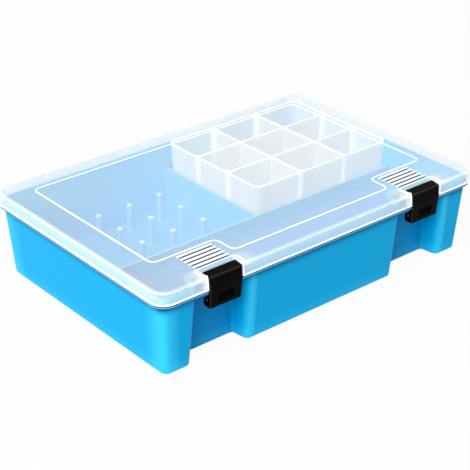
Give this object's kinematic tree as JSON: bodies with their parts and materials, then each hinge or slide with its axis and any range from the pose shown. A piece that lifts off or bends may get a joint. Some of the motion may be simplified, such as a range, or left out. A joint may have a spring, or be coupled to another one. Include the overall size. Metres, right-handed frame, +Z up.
{
  "type": "thread storage box",
  "caption": "Shallow oblong box with a clear hinged lid, two front swing latches, a divided tub with upright spool pegs and a tray with crossed dividers.",
  "frame": {"origin": "middle of the foot ring's plane, under the middle of the tub and of the lid", "axes": "+X along the long side, +Y to the hinged rear side (the latches are at -Y), +Z up"},
  "size_m": [0.35, 0.2458, 0.08],
  "materials": {
    "blue_plastic": "glossy moulded polypropylene, sky blue",
    "clear_lid": "milky clear moulded plastic",
    "clear_tray": "frosted clear moulded plastic",
    "black_plastic": "satin black moulded plastic",
    "steel": "drawn steel pin"
  },
  "bodies": {
    "tub": {"base_tub": "blue_plastic", "latch_pin_left": "steel", "latch_pin_right": "steel", "hinge_pin_left": "steel", "hinge_pin_right": "steel", "tray": "clear_tray", "divider_long_front": "clear_tray", "divider_long_rear": "clear_tray", "divider_cross_left": "clear_tray", "divider_cross_right": "clear_tray", "spool_peg_1": "blue_plastic", "spool_peg_2": "blue_plastic", "spool_peg_3": "blue_plastic", "spool_peg_4": "blue_plastic", "spool_peg_5": "blue_plastic", "spool_peg_6": "blue_plastic", "spool_peg_7": "blue_plastic", "spool_peg_8": "blue_plastic", "spool_peg_9": "blue_plastic"},
    "lid": {"lid": "clear_lid"},
    "latch_left": {"latch_left": "black_plastic"},
    "latch_right": {"latch_right": "black_plastic"}
  },
  "joints": [
    {"name": "lid_hinge", "type": "hinge", "parent": "tub", "child": "lid", "pos_m": [0, 0.1231, 0.0683], "axis": [-1, 0, 0], "range_deg": [0, 110]},
    {"name": "latch_left_pivot", "type": "hinge", "parent": "tub", "child": "latch_left", "pos_m": [-0.1111, -0.11389, 0.0561], "axis": [1, 0, 0], "range_deg": [0, 120]},
    {"name": "latch_right_pivot", "type": "hinge", "parent": "tub", "child": "latch_right", "pos_m": [0.1111, -0.11389, 0.0561], "axis": [1, 0, 0], "range_deg": [0, 120]}
  ]
}
